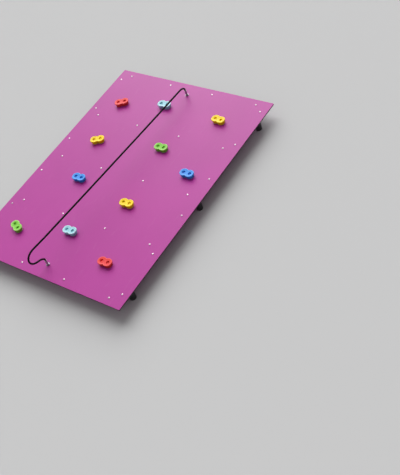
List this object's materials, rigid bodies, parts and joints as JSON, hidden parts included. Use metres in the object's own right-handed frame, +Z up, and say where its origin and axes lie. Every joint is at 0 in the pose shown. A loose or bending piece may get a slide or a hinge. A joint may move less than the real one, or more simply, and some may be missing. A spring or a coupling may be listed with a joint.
{
  "type": "rock climbing wall",
  "caption": "Embankment climbing wall: a sheet panel on a steel subframe with posts, two-bolt climbing holds and a hand rope fixed at both ends along the middle.",
  "frame": {"origin": "on the sloping foundation plane under the six base plates, below the middle of the panel", "axes": "+X across the slope to the right for someone climbing, +Y horizontal towards uphill, +Z up; the panel is tilted by atan(1/2) about X"},
  "size_m": [1.824, 2.3403, 1.2272],
  "materials": {
    "panel": "satin laminate",
    "frame_steel": "satin black powder coat",
    "plate_steel": "satin black powder coat",
    "end_cap": "matte",
    "stainless": "satin",
    "bolt_steel": "dark zinc",
    "hold_red": "satin",
    "hold_yellow": "satin",
    "hold_green": "satin",
    "hold_blue": "satin",
    "hold_light_blue": "satin",
    "rope": "braided",
    "ferrule": "satin"
  },
  "bodies": {
    "root": {"panel": "panel", "side_rail_left": "frame_steel", "side_rail_right": "frame_steel", "crossbar_bottom": "frame_steel", "crossbar_lower": "frame_steel", "crossbar_middle": "frame_steel", "crossbar_upper": "frame_steel", "crossbar_top": "frame_steel", "post_bottom_left": "frame_steel", "post_middle_left": "frame_steel", "post_top_left": "frame_steel", "post_bottom_right": "frame_steel", "post_middle_right": "frame_steel", "post_top_right": "frame_steel", "base_plate_bottom_left": "plate_steel", "base_plate_middle_left": "plate_steel", "base_plate_top_left": "plate_steel", "base_plate_bottom_right": "plate_steel", "base_plate_middle_right": "plate_steel", "base_plate_top_right": "plate_steel", "rail_end_caps": "end_cap", "rail_screws": "stainless", "crossbar_screws": "stainless", "hold_washers": "stainless", "hold_nuts": "stainless", "rope_washers": "stainless", "rope_nuts": "stainless", "hold_bolts": "bolt_steel", "hold_red_upper": "hold_red", "hold_red_lower": "hold_red", "hold_yellow_upper": "hold_yellow", "hold_yellow_left": "hold_yellow", "hold_yellow_middle": "hold_yellow", "hold_green_middle": "hold_green", "hold_green_lower": "hold_green", "hold_blue_right": "hold_blue", "hold_blue_left": "hold_blue", "hold_light_blue_upper": "hold_light_blue", "hold_light_blue_lower": "hold_light_blue", "rope": "rope", "rope_ferrule_bottom": "ferrule", "rope_ferrule_top": "ferrule"}
  },
  "joints": []
}
